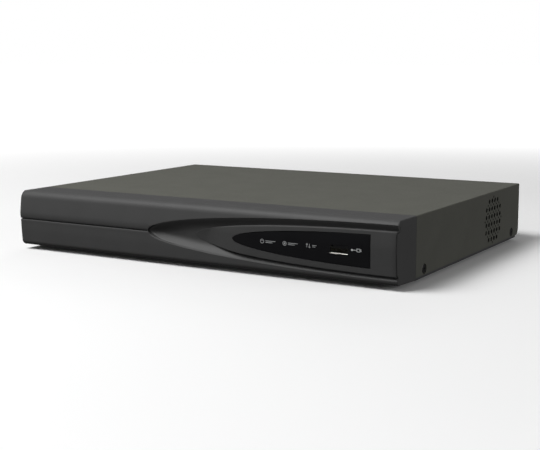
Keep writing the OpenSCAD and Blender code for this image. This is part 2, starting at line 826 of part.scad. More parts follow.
module fan_frame() {
    half = fan_size / 2;
    color([0.07, 0.07, 0.07])
        difference() {
            union() {
                difference() {
                    block([fan_in, fan_out], [fan_y - half, fan_y + half], [fan_z - half, fan_z + half]);
                    rod_x([fan_in - 1, fan_out + 1], fan_y, fan_z, 19);
                }
                rod_x([fan_out - 1.8, fan_out], fan_y, fan_z, 11);
                rod_x([fan_in + 4, fan_out - 1], fan_y, fan_z, 2.6);
                for (a = [90, 210, 330])
                    translate([fan_out - 1.6, fan_y, fan_z]) rotate([a, 0, 0])
                        translate([0, 9, -1]) cube([1.4, 10.6, 2]);
            }
            rod_x([fan_in - 1, fan_out - 0.6], fan_y, fan_z, 1.05);
            for (a = [-1, 1])
                for (b = [-1, 1])
                    rod_x([fan_in - 1, fan_out + 1], fan_y + a * fan_screw_pitch / 2,
                          fan_z + b * fan_screw_pitch / 2, 1.5);
        }
}

module fan_rotor() {
    blades = 7;
    color([0.1, 0.1, 0.1])
        translate([fan_in, fan_y, fan_z]) {
            difference() {
                translate([0.8, 0, 0]) rotate([0, 90, 0]) cylinder(h = 6.4, r = 11, $fn = round_fn);
                translate([2.2, 0, 0]) rotate([0, 90, 0]) cylinder(h = 6, r = 9.6, $fn = round_fn);
            }
            translate([1, 0, 0]) rotate([0, 90, 0]) cylinder(h = 7.6, r = 1, $fn = round_fn);
            for (i = [0:blades - 1])
                rotate([i * 360 / blades, 0, 0]) translate([4, 14.4, 0]) rotate([0, 38, 0])
                    cube([0.9, 7.6, 8.2], center = true);
        }
}

module fan_screws() {
    color([0.6, 0.6, 0.6])
        for (a = [-1, 1])
            for (b = [-1, 1])
                translate([flange_out, fan_y + a * fan_screw_pitch / 2, fan_z + b * fan_screw_pitch / 2])
                    rotate([0, 90, 0]) pan_screw(2.6, 0.9, 1.4, 8);
}

// ---------------------------------------------------------------- hard drive

module drive_casting() {
    x = around(drive_x, drive_w);
    color([0.55, 0.56, 0.57])
        difference() {
            union() {
                difference() {
                    block(x, [drive_y0, drive_y1], [drive_z, drive_z + drive_h - lid_t]);
                    rod_z(drive_x, spindle_y, [cavity_z, drive_z + drive_h], 48.8);
                    block([x[0] + 5, x[1] - 5], [pivot_y - 26, drive_y1 - 5],
                          [cavity_z, drive_z + drive_h]);
                    block([x[0] + 8, x[1] - 8], [drive_y0 + 6, drive_y1 + 1], [drive_z - 1, drive_z + 2.2]);
                    block([-101, -57], [drive_y1 - 6, drive_y1 + 1], [drive_z, drive_z + 8]);
                }
                rod_z(pivot_x, pivot_y, [cavity_z - 1, drive_z + 21], 2.5);
            }
            for (s = [-1, 1])
                for (y = drive_screw_y)
                    rod_z(drive_x + s * drive_screw_x / 2, y, [drive_z - 1, drive_z + 4], 1.6);
        }
}

module drive_lid() {
    z = drive_z + drive_h - lid_t;
    color([0.7, 0.71, 0.72]) {
        block(around(drive_x, drive_w - 2), [drive_y0 + 1, drive_y1 - 1], [z, z + lid_t * 0.7]);
        rod_z(drive_x, spindle_y, [z, z + lid_t], 46);
        block(around(drive_x, 84), [pivot_y - 20, drive_y1 - 10], [z, z + lid_t]);
    }
}

module drive_board() {
    color([0.05, 0.2, 0.12])
        block([drive_x - 42, drive_x + 42], [drive_y0 + 50, drive_y1 - 8], [drive_z + 0.8, drive_z + 2.2]);
    color([0.06, 0.06, 0.06])
        block([-100, -58], [drive_y1 - 5.9, drive_y1], [drive_z + 2.3, drive_z + 7.6]);
}

module drive_motor() {
    color([0.6, 0.6, 0.62]) {
        rod_z(drive_x, spindle_y, [cavity_z, cavity_z + 2.5], 12);
        rod_z(drive_x, spindle_y, [cavity_z, cavity_z + 16], 2.5);
    }
}

module drive_platters() {
    color([0.8, 0.81, 0.83])
        difference() {
            union() {
                rod_z(drive_x, spindle_y, [cavity_z + 3, cavity_z + 15], 12.5);
                for (z = [6.5, 11.5]) rod_z(drive_x, spindle_y, [cavity_z + z, cavity_z + z + 1.3], 47.5);
                rod_z(drive_x, spindle_y, [cavity_z + 14, cavity_z + 16], 15);
            }
            rod_z(drive_x, spindle_y, [cavity_z + 2, cavity_z + 17], 2.55);
        }
}

module drive_arm() {
    color([0.7, 0.7, 0.7])
        translate([pivot_x, pivot_y, 0])
            difference() {
                union() {
                    rod_z(0, 0, [cavity_z + 1, cavity_z + 15], 7);
                    rotate([0, 0, park_angle])
                        for (z = [4.3, 9.15, 14])
                            translate([0, 0, cavity_z + z]) linear_extrude(1)
                                polygon([[0, -5.5], [arm_l - 9, -1.8], [arm_l, -1.2],
                                         [arm_l, 1.2], [arm_l - 9, 1.8], [0, 5.5]]);
                    rotate([0, 0, park_angle + 180])
                        translate([0, 0, cavity_z + 7]) linear_extrude(2.5)
                            polygon([[4, -5], [20, -9], [21, 0], [20, 9], [4, 5]]);
                }
                rod_z(0, 0, [cavity_z, cavity_z + 16], 2.55);
            }
}

module drive_screws() {
    color([0.6, 0.6, 0.6])
        for (s = [-1, 1])
            for (y = drive_screw_y)
                translate([drive_x + s * drive_screw_x / 2, y, z_base]) rotate([180, 0, 0])
                    pan_screw(3, 1.3, 1.55, 6.5);
}

// Two plugs on the drive, two on the board, and the cables between them
module sata_cables() {
    y0 = drive_y1;
    hump = [[y0 + 7, sata_z], [y0 + 9, sata_z + 0.8], [y0 + 10.5, sata_z + 3], [y0 + 11, sata_z + 6],
            [y0 + 11.5, sata_z + 12], [y0 + 13, sata_z + 15.5], [y0 + 16, sata_z + 17.5],
            [y0 + 19.5, sata_z + 17.5], [y0 + 22, sata_z + 15.5], [y0 + 23, sata_z + 12]];
    color([0.5, 0.1, 0.1]) {
        along_x([-68.5, -60.5]) polygon(strip(hump, 1.5));
        block([-71, -58], [y0, y0 + 7.2], [sata_z - 2.5, sata_z + 2.5]);
        block([-70, -59], [y0 + 20, y0 + 26], [board_top, sata_z + 12.2]);
    }
    color([0.06, 0.06, 0.06]) {
        for (i = [0:3]) along_x(around(-95 + i * 4.5, 1.7)) polygon(strip(hump, 1.7));
        block([-99, -75], [y0, y0 + 7.2], [sata_z - 2.8, sata_z + 2.5]);
        block([-99, -77], [y0 + 20, y0 + 26], [board_top, sata_z + 12.2]);
    }
}

// ---------------------------------------------------------------- front board

module front_board() {
    y = [front_board_y, front_board_y + front_board_t];
    color([0.05, 0.25, 0.14])
        difference() {
            block([46, 138], y, [z_base + 13, z_base + 33]);
            for (x = post_x) rod_y(x, [y[0] - 1, y[1] + 1], post_z, 1.5);
        }
    color([0.9, 0.9, 0.85])
        for (x = guide_x) block(around(x, 3), [y[0] - 1.2, y[0]], around(guide_z, 1.6));
    color([0.85, 0.85, 0.8]) block([82, 98], [y[1], y[1] + 3], [z_base + 14, z_base + 19]);
}

module front_usb_shell() {
    color([0.78, 0.78, 0.76])
        flat_shell(usb_mid[0], usb_mid[1], 13.3, 5.8, 0.35, front_board_y, y_front + 1.4);
}

module front_usb_tongue() {
    color([0.08, 0.08, 0.08]) usb_tongue(usb_mid[0], usb_mid[1], front_board_y - 0.35, y_front + 2.6);
}

module front_ribbon() {
    y0 = front_board_y + front_board_t + 3;
    path = [[y0, z_base + 16.5], [y0 + 1, z_base + 16.5], [y0 + 2.5, z_base + 15.5],
            [y0 + 4, z_base + 13], [y0 + 7, z_base + 10.5], [y0 + 12, z_base + 10],
            [-40, z_base + 10], [-34, z_base + 9.5], [-30, z_base + 8.2], [-26, z_base + 8]];
    color([0.85, 0.85, 0.8]) {
        along_x([84, 96]) polygon(strip(path, 0.4));
        block([82, 98], [-26, -20], [board_top, board_top + 3]);
    }
}

top_cover();
base_chassis();
front_bezel();
display_insert();
indicator_window();
light_guide();
rubber_feet();
cover_side_screws();
cover_rear_screws();
main_board();
board_standoffs();
board_screws();
processor();
heat_sink();
small_chips();
capacitors();
inductors();
buzzer();
cell_holder();
coin_cell();
network_transformer();
video_jack_blocks();
video_jack_barrels();
video_jack_insulators();
video_jack_contacts();
audio_jack_block();
audio_jack_shells();
audio_jack_inserts();
hdmi_shell();
hdmi_tongue();
vga_shell();
vga_insert();
vga_jackscrews();
lan_socket();
lan_contacts();
lan_lights();
rear_usb_shell();
rear_usb_tongue();
terminal_header();
terminal_plug();
dc_jack();
dc_jack_pin();
power_switch_body();
power_rocker();
ground_screw();
fan_frame();
fan_rotor();
fan_screws();
drive_casting();
drive_lid();
drive_board();
drive_motor();
drive_platters();
drive_arm();
drive_screws();
sata_cables();
front_board();
front_usb_shell();
front_usb_tongue();
front_ribbon();
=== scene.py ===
import json
import math

import bmesh
import bpy
from mathutils import Matrix, Vector

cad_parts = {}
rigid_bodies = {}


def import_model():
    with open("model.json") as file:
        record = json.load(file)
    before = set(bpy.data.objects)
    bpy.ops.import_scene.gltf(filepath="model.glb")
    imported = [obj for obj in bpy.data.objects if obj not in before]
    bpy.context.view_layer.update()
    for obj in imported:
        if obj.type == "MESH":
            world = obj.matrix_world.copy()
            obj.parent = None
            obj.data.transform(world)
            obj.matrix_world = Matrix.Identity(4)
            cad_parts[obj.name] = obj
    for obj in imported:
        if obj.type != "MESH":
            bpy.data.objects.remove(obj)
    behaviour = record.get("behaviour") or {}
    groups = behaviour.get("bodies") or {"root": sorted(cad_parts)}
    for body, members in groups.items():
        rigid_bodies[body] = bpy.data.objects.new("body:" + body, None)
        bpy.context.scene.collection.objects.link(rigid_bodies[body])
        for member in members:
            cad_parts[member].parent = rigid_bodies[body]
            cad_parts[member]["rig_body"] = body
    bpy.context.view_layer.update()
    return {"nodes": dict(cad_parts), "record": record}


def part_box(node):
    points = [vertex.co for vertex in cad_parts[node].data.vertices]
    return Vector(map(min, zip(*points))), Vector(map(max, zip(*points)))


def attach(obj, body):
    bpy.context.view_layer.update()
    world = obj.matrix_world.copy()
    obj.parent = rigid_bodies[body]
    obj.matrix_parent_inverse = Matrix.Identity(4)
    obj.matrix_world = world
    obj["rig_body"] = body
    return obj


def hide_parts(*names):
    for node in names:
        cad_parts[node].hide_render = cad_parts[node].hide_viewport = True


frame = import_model()

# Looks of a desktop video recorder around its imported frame. Shapes are worked out in millimetres,
# with +X to the right, the front towards -Y and +Z up, and become metres when a mesh is made.
MM = 0.001


def box_mm(node):
    """A node's lowest and highest corners at rest, in millimetres."""
    low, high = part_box(node)
    return low / MM, high / MM


# ---------------------------------------------------------------- sizes taken from the frame

cover_low, cover_high = box_mm("top_cover")
chassis_low = box_mm("base_chassis")[0]
bezel_low = box_mm("front_bezel")[0]
insert_low, insert_high = box_mm("display_insert")
window_low, window_high = box_mm("indicator_window")
usb_low, usb_high = box_mm("front_usb_shell")

HALF_W = cover_high.x
Z_TOP = cover_high.z
Z_BASE = chassis_low.z
Y_FRONT = bezel_low.y
Y_SEAM = cover_low.y - 0.2
Y_REAR = cover_high.y
USB_X = (usb_low.x + usb_high.x) / 2
USB_Z = (usb_low.z + usb_high.z) / 2

# Bezel in section
BULGE_Z = Z_BASE + 26
LEAN_TOP = 2.4
LEAN_BOTTOM = 1.5
LEAN_REACH = 21.2
CREASE_RADIUS = 5.67
CREASE_Z = Z_TOP - 5
BOTTOM_RADIUS = 3.6
BOTTOM_RISE = 1.5
BOTTOM_LIP = 0.3
WALL = 2.0

# Rounding of the bezel's ends, seen from above and from the front
END_RADIUS = 0.3
EDGE_RADIUS = 1.0

# Seam between the brow and the lower body, and the eye that it opens into
SEAM_TOP = Z_BASE + 22.15
SEAM_LOW = Z_BASE + 21.55
SEAM_DEPTH = 1.5
HIGH_LIP = 0.3
LOW_LIP = 0.75
LOW_LIP_RIGHT = 0.3
EYE_LENGTH = 193.0
EYE_RISE = 18.0
EYE_FALL = 16.5
EYE_TIP = HALF_W - EYE_LENGTH
VALLEY_DEPTH = 4.9
VALLEY_DEPTH_RIGHT = 4.0
SLOPE_HIGH = 0.85
SLOPE_LOW = 0.95
SLOPE_BLEND = 2.5
VALLEY_BLEND = 2.0
SLOT_FADE = 16
LIP_FADE = 30
CURL_FADE = 40

# Points down each section of the bezel: in the brow, and in the scoop
BROW_ROWS = 28
SCOOP_ROWS = 32

# Display insert and window: halves of ellipses that end at the right-hand edge
END_CAP = 0.55
PANEL_GAP = 0.25
INSERT_Z = (insert_low.z + insert_high.z) / 2
INSERT_LENGTH = HALF_W - insert_low.x
INSERT_RISE = (insert_high.z - insert_low.z) / 2
INSERT_END = HALF_W - END_CAP
WINDOW_Z = (window_low.z + window_high.z) / 2
WINDOW_LENGTH = HALF_W - window_low.x
WINDOW_RISE = (window_high.z - window_low.z) / 2
WINDOW_END = window_high.x
WINDOW_SINK = 0.3
PANEL_CROWN = 0.45
CAP_X = INSERT_END + PANEL_GAP
INSERT_EDGE = 0.5
NOSE_LENGTH = 48
NOSE_DIVE = 0.8
WINDOW_EDGE = 0.25

# Notches where the grooves run out in the end cap
HIGH_NOTCH = Z_BASE + 35.6
HIGH_NOTCH_DEPTH = 3.6
LOW_NOTCH = Z_BASE + 7.4
LOW_NOTCH_DEPTH = 1.6

# Openings in the bezel behind the window: for the socket, and for the lamps' light guide
USB_OPENING = (14.2, 6.6)
USB_SLOT_MARGIN = 0.6
GUIDE_OPENING_H = 3.4

# How far cutters reach before and behind the foremost line, in the bezel and in the two plates
CUT_BEFORE = 2
CUT_BEHIND = 14
PLATE_CUT_BEFORE = 3
PLATE_CUT_BEHIND = 12


# ---------------------------------------------------------------- mesh helpers

def bare_object(name, points_mm, faces):
    """A mesh object from points in millimetres, as they are."""
    mesh = bpy.data.meshes.new(name)
    mesh.from_pydata([[c * MM for c in p] for p in points_mm], [], faces)
    obj = bpy.data.objects.new(name, mesh)
    bpy.context.scene.collection.objects.link(obj)
    return obj


def make_object(name, points_mm, faces, smooth_deg=35):
    """A mesh object from points in millimetres, with doubled points merged."""
    obj = bare_object(name, points_mm, faces)
    clean(obj, smooth_deg)
    return obj


def clean(obj, smooth_deg=35):
    """Merges doubled points, turns the faces outwards and shades smooth up to smooth_deg."""
    bm = bmesh.new()
    bm.from_mesh(obj.data)
    bmesh.ops.remove_doubles(bm, verts=bm.verts, dist=1e-6)
    bmesh.ops.dissolve_degenerate(bm, edges=bm.edges, dist=1e-7)
    bmesh.ops.recalc_face_normals(bm, faces=bm.faces)
    bm.to_mesh(obj.data)
    bm.free()
    obj.data.shade_smooth()
    obj.data.set_sharp_from_angle(angle=math.radians(smooth_deg))


def loft(sections, closed=True):
    """Points and faces of a skin through sections with equal numbers of points.

    A closed skin has capped ends.
    """
    points = [p for section in sections for p in section]
    count = len(sections[0])
    faces = []
    for i in range(len(sections) - 1):
        for j in range(count if closed else count - 1):
            a, b = i * count + j, i * count + (j + 1) % count
            faces.append([a, b, b + count, a + count])
    if closed:
        faces.append(list(range(count))[::-1])
        faces.append([(len(sections) - 1) * count + j for j in range(count)])
    return points, faces


def apply_modifiers(obj):
    """Gives obj the mesh that its modifiers make, and takes them off."""
    bpy.context.view_layer.update()
    shown = obj.evaluated_get(bpy.context.evaluated_depsgraph_get())
    mesh = bpy.data.meshes.new_from_object(shown)
    obj.modifiers.clear()
    obj.data = mesh


def cut(obj, cutters, smooth_deg=35):
    """Takes the cutters out of obj and deletes them."""
    for cutter in cutters:
        modifier = obj.modifiers.new("cut", "BOOLEAN")
        modifier.object = cutter
        modifier.operation = "DIFFERENCE"
        modifier.solver = "EXACT"
        apply_modifiers(obj)
        bpy.data.objects.remove(cutter)
    clean(obj, smooth_deg)


def prism_y(outline, y0, y1):
    """A solid with an (X, Z) outline, from y0 to y1."""
    return loft([[(x, y, z) for x, z in outline] for y in (y0, y1)])


def cutter_y(outline, before, behind):
    """A cutter with an (X, Z) outline, from before the bezel's foremost line to behind it."""
    return make_object("cutter", *prism_y(outline, Y_FRONT - before, Y_FRONT + behind))


def rect(x, z, w, h):
    """A rectangle's outline around its middle."""
    return [(x - w / 2, z - h / 2), (x + w / 2, z - h / 2), (x + w / 2, z + h / 2), (x - w / 2, z + h / 2)]


def spread(a, b, count):
    """count values from a to b, with a left out and b kept."""
    return [a + (b - a) * (i + 1) / count for i in range(count)]


def smooth_step(t):
    """0 up to t = 0 and 1 from t = 1, with a smooth rise between."""
    t = min(max(t, 0.0), 1.0)
    return t * t * (3 - 2 * t)


def soft_min(a, b, blend):
    """The lower of two values, rounded where they are within blend of each other."""
    h = max(blend - abs(a - b), 0.0) / blend
    return min(a, b) - h * h * blend / 4


# ---------------------------------------------------------------- shape of the front

def lean(z):
    """How far the outer surface stands behind its foremost line at height z."""
    if z >= BULGE_Z:
        return LEAN_TOP * ((z - BULGE_Z) / (Z_TOP - BULGE_Z)) ** 1.2
    return LEAN_BOTTOM * ((BULGE_Z - z) / LEAN_REACH) ** 1.1


def brow_lean(z):
    """The brow curls back a little above the seam, and rolls back to a crease at the top."""
    roll = max(0.0, z - CREASE_Z)
    return (lean(z) + 0.3 * max(0.0, (BULGE_Z - z) / 4) ** 2
            + CREASE_RADIUS - math.sqrt(CREASE_RADIUS ** 2 - roll ** 2))


def body_lean(z):
    """The lower body starts behind the brow's lip."""
    return lean(z) + 0.3 * smooth_step((z - 14) / 9)


def eye_edges(x):
    """Heights of the upper and lower edge of the eye, or of the seam to its left."""
    if x <= EYE_TIP:
        return SEAM_TOP, SEAM_LOW
    bow = math.sqrt(max(0.0, 1 - ((HALF_W - x) / EYE_LENGTH) ** 2))
    return SEAM_TOP + EYE_RISE * bow, SEAM_LOW - EYE_FALL * bow


def valley_depth(x, z):
    """Depth of the scooped surface behind the outer one."""
    high, low = eye_edges(x)
    full = VALLEY_DEPTH + (VALLEY_DEPTH_RIGHT - VALLEY_DEPTH) * smooth_step((x - 20) / 60)
    sides = soft_min(SLOPE_HIGH * (high - z), SLOPE_LOW * (z - low), SLOPE_BLEND)
    scoop = soft_min(sides, full, VALLEY_BLEND)
    slot = SEAM_DEPTH * (1 - smooth_step((x - EYE_TIP) / SLOT_FADE))
    return max(scoop, slot, 0.0)


def cap_depth(z):
    """Depth of the notches in the right-hand end cap, where the grooves run out."""
    if z > HIGH_NOTCH:
        return HIGH_NOTCH_DEPTH
    if z < LOW_NOTCH:
        return LOW_NOTCH_DEPTH
    return 0.0


def arc(y, z, radius, from_deg, to_deg, count):
    """Points of an arc in the (Y, Z) plane, with its first end left out."""
    angles = [math.radians(a) for a in spread(from_deg, to_deg, count)]
    return [(y + radius * math.cos(a), z + radius * math.sin(a)) for a in angles]


def bezel_section(x, capped):
    """(Y, Z) points of the bezel's outside at x, from its top rear edge round to its bottom rear edge."""
    rear = Y_SEAM - Y_FRONT
    high, low = eye_edges(x)
    low_radius = LOW_LIP + (LOW_LIP_RIGHT - LOW_LIP) * smooth_step((x - EYE_TIP) / LIP_FADE)
    foot_radius = min(BOTTOM_RADIUS, low - low_radius - Z_BASE - BOTTOM_RISE - 0.1)
    foot_z = Z_BASE + BOTTOM_RISE + foot_radius
    foot_y = body_lean(foot_z) + foot_radius
    crease = brow_lean(Z_TOP)
    out = [(rear, Z_TOP)]
    out += [(y, Z_TOP) for y in spread(rear, crease + 0.3, 5)]
    out += [(crease + 0.05, Z_TOP - 0.06)]
    out += [(brow_lean(z), z) for z in spread(Z_TOP - 0.2, CREASE_Z - 1, 10) if z > high + HIGH_LIP + 0.2]
    out += [(brow_lean(z), z) for z in spread(out[-1][1], high + HIGH_LIP, BROW_ROWS - len(out))]
    out += arc(brow_lean(high) + HIGH_LIP, high + HIGH_LIP, HIGH_LIP, 180, 270, 3)
    # the scoop, from under the brow to the top of the lower body
    for i in range(SCOOP_ROWS + 1):
        t = i / SCOOP_ROWS
        z = high + (low - high) * t
        base = lean(z) + (1 - smooth_step((x - EYE_TIP) / CURL_FADE)) * (
            (1 - t) * (brow_lean(z) - lean(z)) + t * (body_lean(z) - lean(z)))
        floor = HIGH_LIP if i == 0 else low_radius if i == SCOOP_ROWS else 0.0
        depth = cap_depth(z) if capped else valley_depth(x, z)
        out.append((base + max(depth, floor), z))
    out += [(body_lean(low) + low_radius, low)]
    out += arc(body_lean(low) + low_radius, low - low_radius, low_radius, 90, 180, 4)
    out += [(body_lean(z), z) for z in spread(low - low_radius, foot_z, 12)]
    out += arc(foot_y, foot_z, foot_radius, 180, 270, 8)
    out += [(y, Z_BASE + BOTTOM_RISE + (BOTTOM_LIP - BOTTOM_RISE) * (y - foot_y) / (rear - foot_y))
            for y in spread(foot_y, rear, 5)]
    return [(Y_FRONT + y, z) for y, z in out]


def round_off(x, radius):
    """How far a surface steps in at x to round the bezel's end with this radius."""
    reach = max(0.0, abs(x) - (HALF_W - radius))
    return radius - math.sqrt(max(0.0, radius ** 2 - reach ** 2))


def pull_in(section, x):
    """Shrinks a (Y, Z) outline towards the middle of the rear edge, to round the bezel's ends."""
    mid_z = (Z_TOP + Z_BASE) / 2
    along = 1 - round_off(x, END_RADIUS) / (Y_SEAM - Y_FRONT)
    across = 1 - round_off(x, EDGE_RADIUS) / (Z_TOP - mid_z)
    return [(Y_SEAM - (Y_SEAM - y) * along, mid_z + (z - mid_z) * across) for y, z in section]


def bezel_stations():
    """(X, section is in the end cap) along the bezel."""
    ends = [HALF_W - EDGE_RADIUS * (1 - math.sin(math.radians(a))) for a in (0, 18, 34, 58, 72, 82, 90)]
    out = [(-x, False) for x in reversed(ends)]
    out += [(x, False) for x in spread(-ends[0], EYE_TIP, 14)]
    turn = math.acos((HALF_W - ends[0]) / EYE_LENGTH)
    out += [(HALF_W - EYE_LENGTH * math.cos(a), False) for a in spread(0, turn, 84)]
    out += [(x, False) for x in ends[1:] if x < CAP_X] + [(CAP_X, False), (CAP_X, True)]
    return out + [(x, True) for x in ends if x > CAP_X]


def make_bezel():
    """One moulding: the lofted outside, a hollow open to the rear, and the two joined at the rear edge."""
    stations = bezel_stations()
    outer = []
    for x, capped in stations:
        outer.append([(x, y, z) for y, z in pull_in(bezel_section(x, capped), x)])
    inner_limit = HALF_W - WALL
    front = VALLEY_DEPTH + 1.3
    inner_rows = [(Y_SEAM, Z_TOP - WALL)]
    inner_rows += [(Y_FRONT + lean(z) + front, z) for z in spread(Z_TOP - WALL + 0.01, Z_BASE + 5, 10)]
    inner_rows += [(Y_SEAM, Z_BASE + BOTTOM_LIP + WALL)]
    inner = []
    for x, _ in stations:
        inside = min(max(x, -inner_limit), inner_limit)
        inner.append([(inside, y, z) for y, z in inner_rows])
    n_out, n_in = len(outer[0]), len(inner[0])
    points, faces = loft(outer, closed=False)
    faces.append(list(reversed(range(n_out))))
    faces.append([(len(outer) - 1) * n_out + j for j in range(n_out)])
    start = len(points)
    more, inner_faces = loft(inner, closed=False)
    points += more
    faces += [[start + v for v in face][::-1] for face in inner_faces]
    faces.append([start + j for j in range(n_in)])
    faces.append([start + (len(inner) - 1) * n_in + j for j in range(n_in)][::-1])
    for i in range(len(stations) - 1):
        for a, b in ((0, 0), (n_out - 1, n_in - 1)):
            faces.append([i * n_out + a, (i + 1) * n_out + a,
                          start + (i + 1) * n_in + b, start + i * n_in + b])
    for i in (0, len(stations) - 1):
        faces.append([i * n_out, start + i * n_in, start + i * n_in + n_in - 1, i * n_out + n_out - 1])
    bezel = make_object("bezel_shell", points, faces, 32)
    guide_low, guide_high = box_mm("light_guide")
    openings = [rect(USB_X, USB_Z, *USB_OPENING),
                rect((guide_low.x + guide_high.x) / 2, guide_low.z + 0.8,
                     guide_high.x - guide_low.x + 1, GUIDE_OPENING_H)]
    cut(bezel, [cutter_y(outline, CUT_BEFORE, CUT_BEHIND) for outline in openings], 32)
    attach(bezel, "case")
    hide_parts("front_bezel")
    return bezel


# ---------------------------------------------------------------- display insert and window

def half_ellipse_x(length, end, count, start_deg=0.0):
    """X stations along a half ellipse, from its tip to its right-hand end."""
    turn = math.degrees(math.acos((HALF_W - end) / length))
    return [HALF_W - length * math.cos(math.radians(a)) for a in [start_deg] + spread(start_deg, turn, count)]


def ellipse_bow(x, length, rise):
    """Half the height of a half ellipse at x."""
    return rise * math.sqrt(max(0.0, 1 - ((HALF_W - x) / length) ** 2))


def plate_sections(length, rise, mid_z, end, surface, back, edge, steps=26, stations=64):
    """Sections of a half-elliptical plate with rounded front edges.

    surface and back give depths behind Y_FRONT.
    """
    sections = []
    xs = half_ellipse_x(length, end, stations, 2.0)
    xs = xs[:-1] + [end - edge, end - edge * 0.3, end]
    insets = [0.0] * (len(xs) - 3) + [0.0, edge * 0.3, edge]
    for x, inset in zip(xs, insets):
        bow = ellipse_bow(x, length, rise)
        ring = []
        for i in range(steps + 1):
            t = -math.cos(math.pi * i / steps)
            z = mid_z + bow * t
            near = bow * (1 - abs(t))
            step_in = edge - math.sqrt(max(0.0, edge ** 2 - max(0.0, edge - near) ** 2))
            ring.append((x, Y_FRONT + surface(x, z) + min(max(step_in, inset), edge), z))
        for i in range(steps, -1, -1):
            t = -math.cos(math.pi * i / steps)
            z = mid_z + bow * t
            ring.append((x, Y_FRONT + back(x, z), z))
        sections.append(ring)
    return sections


def panel_lean(z):
    """The insert and the window are flatter than the shell around them."""
    return PANEL_CROWN * lean(z) + 0.15


def insert_back(_x, z):
    return lean(z) + VALLEY_DEPTH_RIGHT + 1.1


def insert_surface(x, z):
    """Flush with the outer surface, and diving into the scoop at its left-hand nose."""
    nose = 1 - smooth_step((x - insert_low.x) / NOSE_LENGTH)
    return min(panel_lean(z) + (VALLEY_DEPTH + NOSE_DIVE) * nose ** 1.3, insert_back(x, z) - 0.3)


def make_insert():
    """The raised panel in the scoop, with the window's place cut through it."""
    sections = plate_sections(INSERT_LENGTH, INSERT_RISE, INSERT_Z, INSERT_END, insert_surface,
                              insert_back, INSERT_EDGE)
    insert = make_object("display_panel", *loft(sections), 32)
    length, rise = WINDOW_LENGTH + PANEL_GAP, WINDOW_RISE + PANEL_GAP
    xs = half_ellipse_x(length, WINDOW_END + PANEL_GAP, 48)
    top = [(x, WINDOW_Z + ellipse_bow(x, length, rise)) for x in xs]
    low = [(x, 2 * WINDOW_Z - z) for x, z in reversed(top[1:])]
    cut(insert, [cutter_y(top + low, PLATE_CUT_BEFORE, PLATE_CUT_BEHIND)], 32)
    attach(insert, "case")
    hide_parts("display_insert")
    return insert


def window_surface(x, z):
    return panel_lean(z) + WINDOW_SINK


def window_back(_x, z):
    return lean(z) + VALLEY_DEPTH_RIGHT + 0.6


def make_window():
    """The gloss panel in the insert, with the socket's opening."""
    sections = plate_sections(WINDOW_LENGTH, WINDOW_RISE, WINDOW_Z, WINDOW_END, window_surface,
                              window_back, WINDOW_EDGE, 30)
    window = make_object("window_panel", *loft(sections), 30)
    slot_w = usb_high.x - usb_low.x - USB_SLOT_MARGIN
    slot_h = usb_high.z - usb_low.z - USB_SLOT_MARGIN
    cut(window, [cutter_y(rect(USB_X, USB_Z, slot_w, slot_h), PLATE_CUT_BEFORE, PLATE_CUT_BEHIND)], 30)
    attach(window, "case")
    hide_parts("indicator_window")
    return window


# ---------------------------------------------------------------- materials

def socket_noise(tree, scale, detail=3.0, stretch=(1, 1, 1)):
    """A noise texture over the object's own coordinates, in features per metre."""
    nodes, links = tree.nodes, tree.links
    place = nodes.new("ShaderNodeTexCoord")
    mapping = nodes.new("ShaderNodeMapping")
    mapping.inputs["Scale"].default_value = stretch
    noise = nodes.new("ShaderNodeTexNoise")
    noise.inputs["Scale"].default_value = scale
    noise.inputs["Detail"].default_value = detail
    links.new(place.outputs["Object"], mapping.inputs["Vector"])
    links.new(mapping.outputs["Vector"], noise.inputs["Vector"])
    return noise.outputs["Fac"]


def map_range(tree, value, low, high):
    """Spreads a noise's middle range over low to high."""
    node = tree.nodes.new("ShaderNodeMapRange")
    node.inputs["From Min"].default_value = 0.3
    node.inputs["From Max"].default_value = 0.7
    node.inputs["To Min"].default_value = low
    node.inputs["To Max"].default_value = high
    tree.links.new(value, node.inputs["Value"])
    return node.outputs["Result"]


def two_tone(tree, value, first, second):
    """A colour between two, by value."""
    mix = tree.nodes.new("ShaderNodeMix")
    mix.data_type = "RGBA"
    mix.inputs["A"].default_value = (*first, 1)
    mix.inputs["B"].default_value = (*second, 1)
    tree.links.new(value, mix.inputs["Factor"])
    return mix.outputs["Result"]


def finish_material(name, colour, rough, metal=0.0, mottle=0.08, mottle_scale=60, grain=0.0,
                    grain_scale=1500, stretch=(1, 1, 1), rough_spread=0.06, **sockets):
    """A finish with mottled colour, uneven roughness and a grain as bump.

    grain is its height in millimetres. Other sockets are set as they are.
    """
    material = bpy.data.materials.new(name)
    material.use_nodes = True
    tree = material.node_tree
    shader = tree.nodes["Principled BSDF"]
    shader.inputs["Metallic"].default_value = metal
    for key, value in sockets.items():
        shader.inputs[key.replace("_", " ")].default_value = value
    darker = [c * (1 - mottle) for c in colour]
    lighter = [min(1.0, c * (1 + mottle)) for c in colour]
    cloud = map_range(tree, socket_noise(tree, mottle_scale, 4), 0, 1)
    tree.links.new(two_tone(tree, cloud, darker, lighter), shader.inputs["Base Color"])
    fine = socket_noise(tree, grain_scale, 2, stretch)
    roughness = map_range(tree, fine, rough - rough_spread, rough + rough_spread)
    tree.links.new(roughness, shader.inputs["Roughness"])
    if grain:
        bump = tree.nodes.new("ShaderNodeBump")
        bump.inputs["Strength"].default_value = 1.0
        bump.inputs["Distance"].default_value = grain * MM
        tree.links.new(fine, bump.inputs["Height"])
        tree.links.new(bump.outputs["Normal"], shader.inputs["Normal"])
    return material


